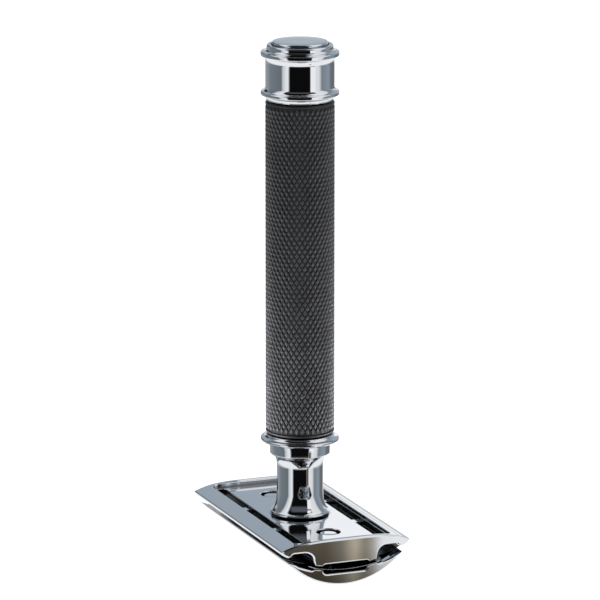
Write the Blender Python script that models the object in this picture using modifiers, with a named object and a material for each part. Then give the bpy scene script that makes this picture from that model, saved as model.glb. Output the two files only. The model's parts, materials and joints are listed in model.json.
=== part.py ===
"""A three-piece double-edge safety razor, standing on the crown of its cap.

The origin is the lowest point of the cap's crown. Z runs up the handle's axis to the
end disc, X runs along the head, and Y runs across it, from guard to guard. All the
heights of the head and handle are measured from the guard plane, the level of the
two guard edges, which lies GUARD_Z above the origin.
"""

import math

import bmesh
import bpy

MM = 0.001
TAU = 2 * math.pi

GAP = 0.3 * MM  # between pieces that rest on each other
SLIM_GAP = 0.12 * MM  # on each side of the blade, between the cap and the guard plate

# Head: the cap's crown is an arc that starts at the origin.
CROWN_RADIUS = 13.8 * MM
GUARD_Z = 6.9 * MM
CAP_LENGTH = 41.6 * MM
CAP_HALF_WIDTH = 10.4 * MM
CAP_RECESS_FLOOR = -4.65 * MM
CAP_RECESS_TOP = (3.95 * MM, -4.05 * MM)
CAP_RECESS_HALF_WIDTH = 3.3 * MM
CAP_LAND_YS = (10.3 * MM, 9.0 * MM)  # where the cap pinches the blade near its edge
CAP_RELIEF = ((8.4 * MM, -2.95 * MM), (7.2 * MM, -3.4 * MM), (6.1 * MM, -3.75 * MM))

# Blade: a standard double-edge blade, bent across its width between cap and plate.
BLADE_LENGTH = 43.0 * MM
BLADE_EDGE_LENGTH = 37.6 * MM
BLADE_WIDTH = 22.0 * MM
BLADE_TAB_WIDTH = 13.6 * MM
BLADE_TAB_CHAMFER = 1.0 * MM
BLADE_THICKNESS = 0.1 * MM
BLADE_EDGE_SHARE = 0.2  # of the thickness, left at the cutting edge
BLADE_MIDDLE_Z = -3.9 * MM
BLADE_BEND_RADIUS = 26.6 * MM
BLADE_GRIND_WIDTH = 0.8 * MM
BLADE_SLOT_LENGTH = 35.0 * MM
BLADE_SLOT_WIDTH = 1.7 * MM
BLADE_POST_HOLE_RADIUS = 2.0 * MM
BLADE_CENTRE_HOLE_RADIUS = 3.0 * MM

# Guard plate: an arched casting with a lather slot beside each guard bar.
PLATE_LENGTH = 42.0 * MM
PLATE_HALF_WIDTH = 11.6 * MM
PLATE_ARCH_RISE = 1.3 * MM
PLATE_ARCH_POWER = 4  # flat over the middle, falling away to the guard edges
PLATEAU_Z = 0.3 * MM
PLATE_TIP = ((11.52 * MM, -0.03 * MM), (PLATE_HALF_WIDTH, -0.22 * MM), (11.5 * MM, -0.42 * MM))
PLATE_LIP = ((10.6 * MM, -1.1 * MM), (10.35 * MM, -1.2 * MM), (10.1 * MM, -1.12 * MM))
CHANNEL_ROOF = -0.65 * MM
CHANNEL_ROOF_YS = (7.6 * MM, 9.2 * MM)
CHANNEL_INNER_FOOT = (5.85 * MM, -2.1 * MM)
CHANNEL_OUTER_FOOT = (9.75 * MM, -0.95 * MM)
POCKET_CORNER_RADIUS = 1.2 * MM
END_RIM_WIDTH = 0.9 * MM
SLOT_INNER_Y = 6.5 * MM
SLOT_OUTER_Y = 8.6 * MM
SLOT_HALF_LENGTH = 19.3 * MM
SLOT_RIB_X = 7.0 * MM
SLOT_RIB_HALF_WIDTH = 0.8 * MM
SLOT_RIB_TOP = -0.3 * MM
SLOT_CORNER_RADIUS = 0.6 * MM
SLOT_LEDGE = 0.12 * MM  # from the pocket's wall to a slot, and from a slot to its windows
SEAT_OUTER_Y = 5.6 * MM
SEAT_INNER_Y = 4.3 * MM
PLATE_RECESS_ROOF = -3.05 * MM
PLATE_RECESS_SIDE = ((4.0 * MM, -3.2 * MM), (3.7 * MM, PLATE_RECESS_ROOF))

# Alignment posts stand on the cap and pass through the blade and the plate.
POST_X = 13.0 * MM
POST_RADIUS = 1.6 * MM
POST_TOP = 0.1 * MM
POST_HOLE_RADIUS = 2.05 * MM
STUD_HOLE_RADIUS = 2.9 * MM
BOSS_RADIUS = 4.2 * MM
BOSS_TOP = -4.15 * MM
STUD_SOCKET_RADIUS = 2.2 * MM
STUD_SOCKET_FLOOR = -6.35 * MM

# Thread: M5 x 0.8, right-handed, on the stud and in the neck.
THREAD_PITCH = 0.8 * MM
THREAD_CREST_RADIUS = 2.5 * MM
THREAD_ROOT_RADIUS = 2.01 * MM
THREAD_CREST_HALF_WIDTH = 0.05 * MM
THREAD_SLACK = 0.12 * MM  # radial, in the neck
THREAD_FLANK_SLACK = 0.06 * MM  # axial, in the neck
THREAD_EMBED = 0.15 * MM
THREAD_FLANK_ANGLE = math.radians(30)
THREAD_STEPS = 16
STUD_THREAD_START = -2.0 * MM
STUD_THREAD_TURNS = 13
STUD_FOOT = -6.15 * MM
STUD_TIP = 9.2 * MM
NECK_THREAD_SKIP = 3  # pitches from the stud's first turn to the neck's
NECK_THREAD_TURNS = 12

# Handle, from the plate up.
NECK_FOOT = PLATEAU_Z + GAP
NECK_FOOT_RADIUS = 5.0 * MM
NECK_FOOT_HEIGHT = 0.35 * MM
NECK_WAIST_RADIUS = 4.0 * MM
NECK_WAIST_SPAN = (4.4 * MM, 8.8 * MM)
NECK_LIP_RADIUS = 5.2 * MM
NECK_LIP_BOTTOM = 11.2 * MM
NECK_BORE_TOP = 10.7 * MM
COLLAR_SEAT = 13.35 * MM
COLLAR_TOP = 14.6 * MM
FLANGE_RADIUS = 6.66 * MM
COLLAR_RADIUS = 6.75 * MM
COLLAR_BAND = 0.5 * MM  # height of the collar's widest part
COLLAR_RELIEF = 0.1 * MM  # the underside is higher over the neck's lip
COLLAR_RELIEF_RADIUS = NECK_LIP_RADIUS + 0.25 * MM
GRIP_BOTTOM = COLLAR_TOP + GAP
GRIP_TOP = 72.3 * MM
GRIP_RADIUS = 5.87 * MM
GRIP_BORE_RADIUS = 4.5 * MM
GRIP_EDGE = 0.25 * MM
SPIGOT_RADIUS = 4.2 * MM
SPIGOT_LENGTH = 4.4 * MM  # of the neck and of the knob inside the sleeve
CORE_RADIUS = 2.9 * MM
CORE_SOCKET_RADIUS = 3.2 * MM
CORE_BOTTOM = 12.5 * MM
CORE_TOP = 75.9 * MM
KNOB_BOTTOM = GRIP_TOP + GAP
BARREL_BOTTOM = 74.85 * MM
BARREL_TOP = 78.9 * MM
BARREL_RADIUS = 5.87 * MM
KNOB_STEP_RADIUS = 5.6 * MM
KNOB_UPPER_FLANGE = (80.15 * MM, 80.7 * MM)
KNOB_LOWER_FLANGE = (73.5 * MM, 73.95 * MM)
KNOB_TOP = 82.0 * MM
DISC_TOP = 82.5 * MM
DISC_RADIUS = 4.8 * MM
DISC_BOTTOM = 80.8 * MM

CHAMFER = 0.4 * MM  # on the ends of the stud, the core and the posts
SMALL_ROUND = 0.1 * MM

ROUND_STEPS = 40
NECK_STEPS = 32
SMALL_STEPS = 24
SMOOTH_ANGLE = math.radians(32)
MERGE_DISTANCE = 1e-7


def clear_scene():
    for obj in list(bpy.data.objects):
        bpy.data.objects.remove(obj)


def collection(name):
    made = bpy.data.collections.new(name)
    bpy.context.scene.collection.children.link(made)
    return made


def finish(name, colour, metallic, roughness):
    """A Principled material."""
    material = bpy.data.materials.new(name)
    material.use_nodes = True
    shader = material.node_tree.nodes["Principled BSDF"]
    shader.inputs["Base Color"].default_value = (*colour, 1)
    shader.inputs["Metallic"].default_value = metallic
    shader.inputs["Roughness"].default_value = roughness
    return material


def add_object(name, mesh, group, material=None, height=0.0):
    """Puts a mesh in the scene as an object on the handle's axis."""
    obj = bpy.data.objects.new(name, mesh)
    obj.location.z = height
    group.objects.link(obj)
    if material:
        mesh.materials.append(material)
    return obj


def evaluated_mesh(obj):
    """The object's mesh with its modifiers applied."""
    graph = bpy.context.evaluated_depsgraph_get()
    graph.update()
    return bpy.data.meshes.new_from_object(obj.evaluated_get(graph))


def quarter(r_steep, z_steep, r_flat, z_flat, count):
    """Points of a quarter ellipse, upright at its first point and level at its last."""
    points = []
    for step in range(count + 1):
        angle = math.pi / 2 * step / count
        r = r_flat - (r_flat - r_steep) * math.cos(angle)
        z = z_steep + (z_flat - z_steep) * math.sin(angle)
        points.append((r, z))
    return points


def turned(name, profile, group, material=None, steps=ROUND_STEPS, closed=False):
    """A profile of (radius, height) points turned about Z.

    The profile runs down the outer side. A closed one goes on up the bore.
    """
    outline = bpy.data.meshes.new(name)
    count = len(profile)
    edges = [(i, (i + 1) % count) for i in range(count if closed else count - 1)]
    outline.from_pydata([(r, 0, z) for r, z in profile], edges, [])
    turning = add_object(name, outline, group)
    screw = turning.modifiers.new("Turn", "SCREW")
    screw.axis = "Z"
    screw.angle = TAU
    screw.steps = steps
    screw.render_steps = steps
    screw.use_merge_vertices = True
    screw.merge_threshold = MERGE_DISTANCE
    mesh = evaluated_mesh(turning)
    bpy.data.objects.remove(turning)
    mesh.shade_smooth()
    mesh.set_sharp_from_angle(angle=SMOOTH_ANGLE)
    return add_object(name, mesh, group, material, GUARD_Z)


def extruded(name, outlines, half_thickness):
    """A closed mesh made from flat outlines of (x, y) points; the inner ones are holes."""
    curve = bpy.data.curves.new(name, "CURVE")
    curve.dimensions = "2D"
    curve.fill_mode = "BOTH"
    curve.extrude = half_thickness
    for outline in outlines:
        spline = curve.splines.new("POLY")
        spline.points.add(len(outline) - 1)
        spline.use_cyclic_u = True
        for point, (x, y) in zip(spline.points, outline):
            point.co = (x, y, 0, 1)
    outline_object = bpy.data.objects.new(name, curve)
    bpy.context.scene.collection.objects.link(outline_object)
    mesh = evaluated_mesh(outline_object)
    bpy.data.objects.remove(outline_object)
    shape = bmesh.new()
    shape.from_mesh(mesh)
    bmesh.ops.remove_doubles(shape, verts=shape.verts, dist=MERGE_DISTANCE)
    bmesh.ops.recalc_face_normals(shape, faces=shape.faces)
    shape.to_mesh(mesh)
    shape.free()
    mesh.name = name
    return mesh


def lengthwise(name, section, length, group, material):
    """A (y, z) section, given for +Y and mirrored to -Y, extruded along X."""
    other_side = [(-y, z) for y, z in reversed(section) if y > 0]
    mesh = extruded(name, [section + other_side], length / 2)
    obj = add_object(name, mesh, group, material, GUARD_Z)
    obj.rotation_euler = (math.pi / 2, 0, math.pi / 2)
    return obj


def rounded_rectangle(xs, ys, radius, count=4):
    """The outline of a rectangle between the two xs and the two ys, counter-clockwise."""
    points = []
    corners = ((xs[1], ys[1]), (xs[0], ys[1]), (xs[0], ys[0]), (xs[1], ys[0]))
    for quadrant, (x, y) in enumerate(corners):
        towards_x = -1 if x == xs[1] else 1
        towards_y = -1 if y == ys[1] else 1
        for step in range(count + 1):
            angle = math.pi / 2 * (quadrant + step / count)
            points.append((
                x + radius * (towards_x + math.cos(angle)),
                y + radius * (towards_y + math.sin(angle)),
            ))
    return points


def upright(name, outline, low, high, group):
    """A flat (x, y) outline made into an upright prism between two heights."""
    mesh = extruded(name, [outline], (high - low) / 2)
    return add_object(name, mesh, group, None, GUARD_Z + (low + high) / 2)


def boolean(obj, other, operation, solver="EXACT"):
    modifier = obj.modifiers.new(other.name, "BOOLEAN")
    modifier.operation = operation
    modifier.solver = solver
    modifier.object = other
    other.hide_render = True
    other.display_type = "WIRE"


def cylinder(name, radius, low, high, x, group, steps=SMALL_STEPS):
    """An upright plain cylinder at x on the head's centre line."""
    shape = bmesh.new()
    bmesh.ops.create_cone(
        shape, cap_ends=True, segments=steps, radius1=radius, radius2=radius, depth=high - low
    )
    mesh = bpy.data.meshes.new(name)
    shape.to_mesh(mesh)
    shape.free()
    obj = add_object(name, mesh, group, None, GUARD_Z + (low + high) / 2)
    obj.location.x = x
    return obj


def thread_ridge(name, start, turns, slack, flank_slack, group):
    """A helical ridge with closed ends, slack larger than the stud's own."""
    inner = THREAD_ROOT_RADIUS - THREAD_EMBED
    outer = THREAD_CREST_RADIUS + slack
    slope = math.tan(THREAD_FLANK_ANGLE)
    crest = THREAD_CREST_HALF_WIDTH + flank_slack
    base = crest + (outer - inner - slack) * slope
    profile = [(inner, base), (outer, crest), (outer, -crest), (inner, -base)]
    mesh = bpy.data.meshes.new(name)
    edges = [(0, 1), (1, 2), (2, 3), (3, 0)]
    mesh.from_pydata([(r, 0, start + z) for r, z in profile], edges, [])
    helix = add_object(name, mesh, group)
    screw = helix.modifiers.new("Helix", "SCREW")
    screw.axis = "Z"
    screw.angle = TAU
    screw.screw_offset = THREAD_PITCH
    screw.iterations = turns
    screw.steps = THREAD_STEPS
    screw.render_steps = THREAD_STEPS
    ridge = evaluated_mesh(helix)
    bpy.data.objects.remove(helix)
    shape = bmesh.new()
    shape.from_mesh(ridge)
    bmesh.ops.remove_doubles(shape, verts=shape.verts, dist=MERGE_DISTANCE)
    open_edges = [edge for edge in shape.edges if edge.is_boundary]
    bmesh.ops.holes_fill(shape, edges=open_edges, sides=4)
    bmesh.ops.recalc_face_normals(shape, faces=shape.faces)
    shape.to_mesh(ridge)
    shape.free()
    return add_object(name, ridge, group, None, GUARD_Z)


def blade_height(y):
    """The height of the bent blade's middle surface, y from the centre line."""
    return BLADE_MIDDLE_Z + y * y / (2 * BLADE_BEND_RADIUS)


def crown_height(y):
    """The height of the cap's outer surface, y from the centre line."""
    return CROWN_RADIUS - GUARD_Z - math.sqrt(CROWN_RADIUS**2 - y * y)


def arch_height(y):
    """The height of the guard plate's handle side, y from the centre line."""
    return PLATE_ARCH_RISE * (1 - (y / PLATE_HALF_WIDTH) ** PLATE_ARCH_POWER)


def spread(start, end, count):
    """Evenly spaced values, with both ends."""
    return [start + (end - start) * i / (count - 1) for i in range(count)]


def cap_section():
    """The crescent: crown, land that pinches the blade, relief, blade seat and recess."""
    under_blade = BLADE_THICKNESS / 2 + SLIM_GAP
    crown = [(y, crown_height(y)) for y in spread(0, CAP_HALF_WIDTH - 0.05 * MM, 15)]
    land = [(y, blade_height(y) - under_blade) for y in spread(*CAP_LAND_YS, 4)]
    seat_ys = spread(SEAT_OUTER_Y - 2 * SMALL_ROUND, SEAT_INNER_Y, 3)
    seat = [(y, blade_height(y) - under_blade) for y in seat_ys]
    recess = quarter(*CAP_RECESS_TOP, CAP_RECESS_HALF_WIDTH, CAP_RECESS_FLOOR, 4)
    return crown + land + list(CAP_RELIEF) + seat + recess + [(0, CAP_RECESS_FLOOR)]


def make_cap(group, cutters, chrome):
    cap = lengthwise("cap", cap_section()[::-1], CAP_LENGTH, group, chrome)
    embedded = CAP_RECESS_FLOOR - 0.5 * MM
    boss = cylinder("cap_boss", BOSS_RADIUS, embedded, BOSS_TOP, 0, cutters, ROUND_STEPS)
    boolean(cap, boss, "UNION")
    for number, x in enumerate((-POST_X, POST_X), 1):
        profile = [(0, POST_TOP), (POST_RADIUS - CHAMFER, POST_TOP)]
        profile += [(POST_RADIUS, POST_TOP - CHAMFER), (POST_RADIUS, embedded), (0, embedded)]
        post = turned(f"cap_post_{number}", profile, cutters, None, SMALL_STEPS)
        post.location.x = x
        boolean(cap, post, "UNION")
    socket = cylinder("cap_socket", STUD_SOCKET_RADIUS, STUD_SOCKET_FLOOR, 0, 0, cutters)
    boolean(cap, socket, "DIFFERENCE")
    return cap


def rod_profile(radius, low, high):
    """A rod with a chamfer at each end."""
    return [
        (0, high),
        (radius - CHAMFER, high),
        (radius, high - CHAMFER),
        (radius, low + CHAMFER),
        (radius - CHAMFER, low),
        (0, low),
    ]


def make_stud(group, cutters, steel):
    profile = rod_profile(THREAD_ROOT_RADIUS, STUD_FOOT, STUD_TIP)
    stud = turned("threaded_stud", profile, group, steel, THREAD_STEPS)
    ridge = thread_ridge("stud_thread", STUD_THREAD_START, STUD_THREAD_TURNS, 0, 0, cutters)
    boolean(stud, ridge, "UNION")
    return stud


def blade_outline():
    """The cutting edges, with a notch at each corner that leaves the end tabs."""
    corner = [
        (BLADE_LENGTH / 2, 0),
        (BLADE_LENGTH / 2, BLADE_TAB_WIDTH / 2 - BLADE_TAB_CHAMFER),
        (BLADE_LENGTH / 2 - BLADE_TAB_CHAMFER, BLADE_TAB_WIDTH / 2),
        (BLADE_EDGE_LENGTH / 2, BLADE_TAB_WIDTH / 2),
        (BLADE_EDGE_LENGTH / 2, BLADE_WIDTH / 2),
    ]
    upper = corner + [(-x, y) for x, y in reversed(corner)]
    return upper + [(-x, -y) for x, y in upper[1:-1]]


def blade_slot():
    """One opening: a round centre hole and two post holes joined by a slot."""
    half = BLADE_SLOT_WIDTH / 2
    upper = [(-BLADE_SLOT_LENGTH / 2, half)]
    holes = (
        (-POST_X, BLADE_POST_HOLE_RADIUS),
        (0, BLADE_CENTRE_HOLE_RADIUS),
        (POST_X, BLADE_POST_HOLE_RADIUS),
    )
    for x, radius in holes:
        start = math.asin(half / radius)
        for angle in spread(math.pi - start, start, 9):
            upper.append((x + radius * math.cos(angle), radius * math.sin(angle)))
    upper.append((BLADE_SLOT_LENGTH / 2, half))
    return upper + [(x, -y) for x, y in reversed(upper)]


def make_blade(group, steel):
    mesh = extruded("blade", [blade_outline(), blade_slot()], BLADE_THICKNESS / 2)
    shape = bmesh.new()
    shape.from_mesh(mesh)
    grind_start = BLADE_WIDTH / 2 - BLADE_GRIND_WIDTH
    for y in spread(-grind_start, grind_start, 15):
        geometry = shape.verts[:] + shape.edges[:] + shape.faces[:]
        bmesh.ops.bisect_plane(
            shape, geom=geometry, dist=MERGE_DISTANCE, plane_co=(0, y, 0), plane_no=(0, 1, 0)
        )
    # Bending the flat blade brings its edges slightly closer together.
    narrowing = 1 - (BLADE_WIDTH / 2 / BLADE_BEND_RADIUS) ** 2 / 6
    for vert in shape.verts:
        if abs(vert.co.y) > BLADE_WIDTH / 2 - BLADE_GRIND_WIDTH / 2:
            vert.co.z *= BLADE_EDGE_SHARE
        vert.co.y *= narrowing
        vert.co.z += blade_height(vert.co.y)
    bmesh.ops.triangulate(shape, faces=shape.faces)
    shape.to_mesh(mesh)
    shape.free()
    return add_object("blade", mesh, group, steel, GUARD_Z)


def plate_section():
    """Arched handle side, guard bar with a lip, lather channel, blade seat and recess."""
    over_blade = BLADE_THICKNESS / 2 + SLIM_GAP
    arch = [(y, arch_height(y)) for y in spread(0, PLATE_HALF_WIDTH - 0.3 * MM, 10)]
    channel = quarter(*CHANNEL_OUTER_FOOT, CHANNEL_ROOF_YS[1], CHANNEL_ROOF, 2)
    channel += quarter(*CHANNEL_INNER_FOOT, CHANNEL_ROOF_YS[0], CHANNEL_ROOF, 5)[::-1]
    seat = [(SEAT_OUTER_Y, blade_height(SEAT_OUTER_Y) + over_blade + SMALL_ROUND)]
    seat_ys = spread(SEAT_OUTER_Y - SMALL_ROUND, SEAT_INNER_Y, 3)
    seat += [(y, blade_height(y) + over_blade) for y in seat_ys]
    recess = [*PLATE_RECESS_SIDE, (0, PLATE_RECESS_ROOF)]
    return arch + list(PLATE_TIP) + list(PLATE_LIP) + channel + seat + recess


def cut_plate(plate, cutter):
    """The narrow ledges between the plate's cuts need the manifold solver."""
    boolean(plate, cutter, "DIFFERENCE", "MANIFOLD")


def make_plate(group, cutters, chrome):
    plate = lengthwise("guard_plate", plate_section(), PLATE_LENGTH, group, chrome)
    above = 3 * MM
    below = -2.5 * MM
    # The pocket between the end rims and the two guard bars.
    reach_x = PLATE_LENGTH / 2 - END_RIM_WIDTH
    reach_y = SLOT_OUTER_Y + SLOT_LEDGE
    outline = rounded_rectangle((-reach_x, reach_x), (-reach_y, reach_y), POCKET_CORNER_RADIUS)
    cut_plate(plate, upright("plate_pocket", outline, PLATEAU_Z, above, cutters))
    # A groove on each side, cut through except at two ribs.
    window_end = SLOT_HALF_LENGTH - SLOT_LEDGE
    windows = (
        (-window_end, -SLOT_RIB_X - SLOT_RIB_HALF_WIDTH),
        (-SLOT_RIB_X + SLOT_RIB_HALF_WIDTH, SLOT_RIB_X - SLOT_RIB_HALF_WIDTH),
        (SLOT_RIB_X + SLOT_RIB_HALF_WIDTH, window_end),
    )
    for side, sign in (("minus_y", -1), ("plus_y", 1)):
        ys = sorted((sign * SLOT_INNER_Y, sign * SLOT_OUTER_Y))
        span = (-SLOT_HALF_LENGTH, SLOT_HALF_LENGTH)
        outline = rounded_rectangle(span, ys, SLOT_CORNER_RADIUS)
        cut_plate(plate, upright(f"plate_groove_{side}", outline, SLOT_RIB_TOP, above, cutters))
        window_ys = (ys[0] + SLOT_LEDGE, ys[1] - SLOT_LEDGE)
        for number, span in enumerate(windows, 1):
            outline = rounded_rectangle(span, window_ys, SLOT_CORNER_RADIUS)
            window = upright(f"plate_window_{side}_{number}", outline, below, above, cutters)
            cut_plate(plate, window)
    holes = ((-POST_X, POST_HOLE_RADIUS), (0, STUD_HOLE_RADIUS), (POST_X, POST_HOLE_RADIUS))
    for number, (x, radius) in enumerate(holes, 1):
        cut_plate(plate, cylinder(f"plate_hole_{number}", radius, 2 * below, above, x, cutters))
    return plate


def neck_profile():
    """Spigot and core socket at the top, lip, waist, trumpet foot and threaded bore."""
    spigot_top = GRIP_BOTTOM + SPIGOT_LENGTH
    lip_top = COLLAR_SEAT + COLLAR_RELIEF - GAP
    lip_round = 2 * SMALL_ROUND
    waist_bottom, waist_top = NECK_WAIST_SPAN
    bore = THREAD_ROOT_RADIUS + THREAD_SLACK
    countersink = THREAD_CREST_RADIUS + SMALL_ROUND - THREAD_ROOT_RADIUS
    profile = [(0, CORE_BOTTOM - GAP), (CORE_SOCKET_RADIUS, CORE_BOTTOM - GAP)]
    profile += [(CORE_SOCKET_RADIUS, spigot_top), (SPIGOT_RADIUS, spigot_top)]
    profile += [(SPIGOT_RADIUS, lip_top), (NECK_LIP_RADIUS - lip_round, lip_top)]
    profile += [(NECK_LIP_RADIUS, lip_top - lip_round), (NECK_LIP_RADIUS, NECK_LIP_BOTTOM)]
    under_lip = (NECK_LIP_RADIUS - lip_round, NECK_LIP_BOTTOM - lip_round)
    profile += quarter(NECK_WAIST_RADIUS, waist_top, *under_lip, 5)[::-1]
    foot_edge = (NECK_FOOT_RADIUS, NECK_FOOT + NECK_FOOT_HEIGHT)
    profile += quarter(NECK_WAIST_RADIUS, waist_bottom, *foot_edge, 6)
    profile += [(NECK_FOOT_RADIUS, NECK_FOOT), (bore + countersink, NECK_FOOT)]
    profile += [(bore, NECK_FOOT + countersink), (bore, NECK_BORE_TOP)]
    profile += [(0, NECK_BORE_TOP + CHAMFER)]
    return profile


def make_neck(group, cutters, chrome):
    neck = turned("neck", neck_profile(), group, chrome, NECK_STEPS)
    start = STUD_THREAD_START + NECK_THREAD_SKIP * THREAD_PITCH
    ridge = thread_ridge(
        "neck_thread", start, NECK_THREAD_TURNS, THREAD_SLACK, THREAD_FLANK_SLACK, cutters
    )
    boolean(neck, ridge, "DIFFERENCE")
    return neck


def make_collar(group, chrome):
    """The ring's seat is the flat outer part of its underside, around the neck's lip."""
    bore = SPIGOT_RADIUS + GAP
    band_top = COLLAR_SEAT + COLLAR_BAND
    edge = 2 * SMALL_ROUND
    relief = COLLAR_SEAT + COLLAR_RELIEF
    shoulder = (GRIP_RADIUS - SMALL_ROUND, COLLAR_TOP - SMALL_ROUND)
    profile = [(bore, COLLAR_TOP), (GRIP_RADIUS - edge, COLLAR_TOP)]
    profile += quarter(*shoulder, COLLAR_RADIUS - SMALL_ROUND, band_top + SMALL_ROUND, 4)
    profile += [(COLLAR_RADIUS, band_top), (COLLAR_RADIUS, COLLAR_SEAT + edge)]
    profile += [(COLLAR_RADIUS - edge, COLLAR_SEAT), (COLLAR_RELIEF_RADIUS, COLLAR_SEAT)]
    profile += [(COLLAR_RELIEF_RADIUS, relief), (bore, relief)]
    return turned("collar_ring", profile, group, chrome, closed=True)


def make_core(group, steel):
    profile = rod_profile(CORE_RADIUS, CORE_BOTTOM, CORE_TOP)
    return turned("handle_core", profile, group, steel, SMALL_STEPS)


def make_grip(group, black):
    profile = [
        (GRIP_BORE_RADIUS, GRIP_TOP),
        (GRIP_RADIUS - GRIP_EDGE, GRIP_TOP),
        (GRIP_RADIUS, GRIP_TOP - GRIP_EDGE),
        (GRIP_RADIUS, GRIP_BOTTOM + GRIP_EDGE),
        (GRIP_RADIUS - GRIP_EDGE, GRIP_BOTTOM),
        (GRIP_BORE_RADIUS, GRIP_BOTTOM),
    ]
    return turned("grip_sleeve", profile, group, black, closed=True)


def make_knob(group, chrome):
    """The end knob: a barrel between two thin flanges, with a recess for the end disc."""
    recess = DISC_RADIUS + GAP
    floor = DISC_BOTTOM - GAP
    rim = 4 * SMALL_ROUND
    under = FLANGE_RADIUS - SMALL_ROUND
    root = GRIP_RADIUS - SMALL_ROUND
    upper_bottom, upper_top = KNOB_UPPER_FLANGE
    lower_bottom, lower_top = KNOB_LOWER_FLANGE
    spigot_bottom = GRIP_TOP - SPIGOT_LENGTH
    profile = [(0, floor), (recess, floor), (recess, KNOB_TOP)]
    profile += quarter(KNOB_STEP_RADIUS, KNOB_TOP - rim, KNOB_STEP_RADIUS - rim, KNOB_TOP, 3)[::-1]
    profile += [(under, upper_top + SMALL_ROUND), (FLANGE_RADIUS, upper_top)]
    profile += [(FLANGE_RADIUS, upper_bottom)]
    profile += quarter(BARREL_RADIUS, BARREL_TOP, under, upper_bottom - SMALL_ROUND, 4)[::-1]
    profile += quarter(BARREL_RADIUS, BARREL_BOTTOM, under, lower_top + SMALL_ROUND, 4)
    profile += [(FLANGE_RADIUS, lower_top), (FLANGE_RADIUS, lower_bottom)]
    profile += quarter(root, KNOB_BOTTOM + SMALL_ROUND, under, lower_bottom - SMALL_ROUND, 3)[::-1]
    profile += [(root, KNOB_BOTTOM), (SPIGOT_RADIUS, KNOB_BOTTOM)]
    profile += [(SPIGOT_RADIUS, spigot_bottom), (CORE_SOCKET_RADIUS, spigot_bottom)]
    profile += [(CORE_SOCKET_RADIUS, CORE_TOP + GAP), (0, CORE_TOP + GAP)]
    return turned("end_knob", profile, group, chrome)


def make_disc(group, chrome):
    edge = 3 * SMALL_ROUND
    profile = [(0, DISC_TOP)]
    profile += quarter(DISC_RADIUS, DISC_TOP - edge, DISC_RADIUS - edge, DISC_TOP, 3)[::-1]
    profile += [(DISC_RADIUS, DISC_BOTTOM), (0, DISC_BOTTOM)]
    return turned("end_disc", profile, group, chrome)


def main():
    clear_scene()
    razor = collection("safety_razor")
    cutters = collection("cutters")
    chrome = finish("polished_chrome", (0.80, 0.81, 0.83), 1.0, 0.06)
    black = finish("black_knurled_grip", (0.02, 0.02, 0.022), 0.6, 0.38)
    steel = finish("steel", (0.62, 0.63, 0.64), 1.0, 0.22)
    blade_steel = finish("blade_steel", (0.72, 0.73, 0.74), 1.0, 0.15)
    make_cap(razor, cutters, chrome)
    make_stud(razor, cutters, steel)
    make_blade(razor, blade_steel)
    make_plate(razor, cutters, chrome)
    make_neck(razor, cutters, chrome)
    make_collar(razor, chrome)
    make_core(razor, steel)
    make_grip(razor, black)
    make_knob(razor, chrome)
    make_disc(razor, chrome)


main()
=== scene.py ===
"""The looks of a three-piece safety razor: polished chrome, black knurled grip, blade steel.

Lengths are in metres. Section and profile heights are measured from the guard plane, the
level of the two guard edges, which lies GUARD_Z above the lowest point of the cap.
"""

import json
import math

import bmesh
import bpy
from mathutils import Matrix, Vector


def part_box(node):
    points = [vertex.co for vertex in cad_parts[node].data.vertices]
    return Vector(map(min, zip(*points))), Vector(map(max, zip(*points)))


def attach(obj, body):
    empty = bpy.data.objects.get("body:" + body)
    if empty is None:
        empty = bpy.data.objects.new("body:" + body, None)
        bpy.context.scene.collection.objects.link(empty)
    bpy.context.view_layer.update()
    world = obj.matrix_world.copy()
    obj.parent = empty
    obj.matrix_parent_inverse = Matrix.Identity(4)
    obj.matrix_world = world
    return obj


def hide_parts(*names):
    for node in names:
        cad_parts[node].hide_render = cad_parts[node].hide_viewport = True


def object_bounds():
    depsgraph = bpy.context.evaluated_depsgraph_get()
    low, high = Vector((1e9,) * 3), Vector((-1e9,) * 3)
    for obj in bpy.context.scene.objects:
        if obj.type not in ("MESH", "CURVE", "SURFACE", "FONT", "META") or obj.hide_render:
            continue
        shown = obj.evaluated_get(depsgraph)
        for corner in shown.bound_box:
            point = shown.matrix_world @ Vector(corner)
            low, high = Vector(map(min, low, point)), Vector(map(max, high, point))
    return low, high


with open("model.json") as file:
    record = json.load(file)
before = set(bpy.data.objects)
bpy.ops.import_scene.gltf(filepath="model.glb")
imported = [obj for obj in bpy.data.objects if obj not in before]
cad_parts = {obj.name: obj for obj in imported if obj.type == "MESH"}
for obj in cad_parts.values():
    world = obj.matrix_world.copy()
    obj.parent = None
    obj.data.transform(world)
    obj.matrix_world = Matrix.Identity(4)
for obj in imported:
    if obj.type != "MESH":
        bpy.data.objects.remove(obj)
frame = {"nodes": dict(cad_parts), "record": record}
cad_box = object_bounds()

MM = 0.001
TAU = 2 * math.pi
QUARTER = math.pi / 2

PLATE_LOW, PLATE_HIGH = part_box("guard_plate")
GRIP_LOW, GRIP_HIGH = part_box("grip_sleeve")
ARCH_RISE = 1.3 * MM
ARCH_POWER = 4
GUARD_Z = PLATE_HIGH.z - ARCH_RISE


def reach_of(cad_node):
    """How far a CAD node reaches along +X: its half length or its radius."""
    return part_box(cad_node)[1].x


def levels_of(cad_node):
    """The heights of a CAD node's lowest and highest points, from the guard plane."""
    low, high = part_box(cad_node)
    return low.z - GUARD_Z, high.z - GUARD_Z


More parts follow.
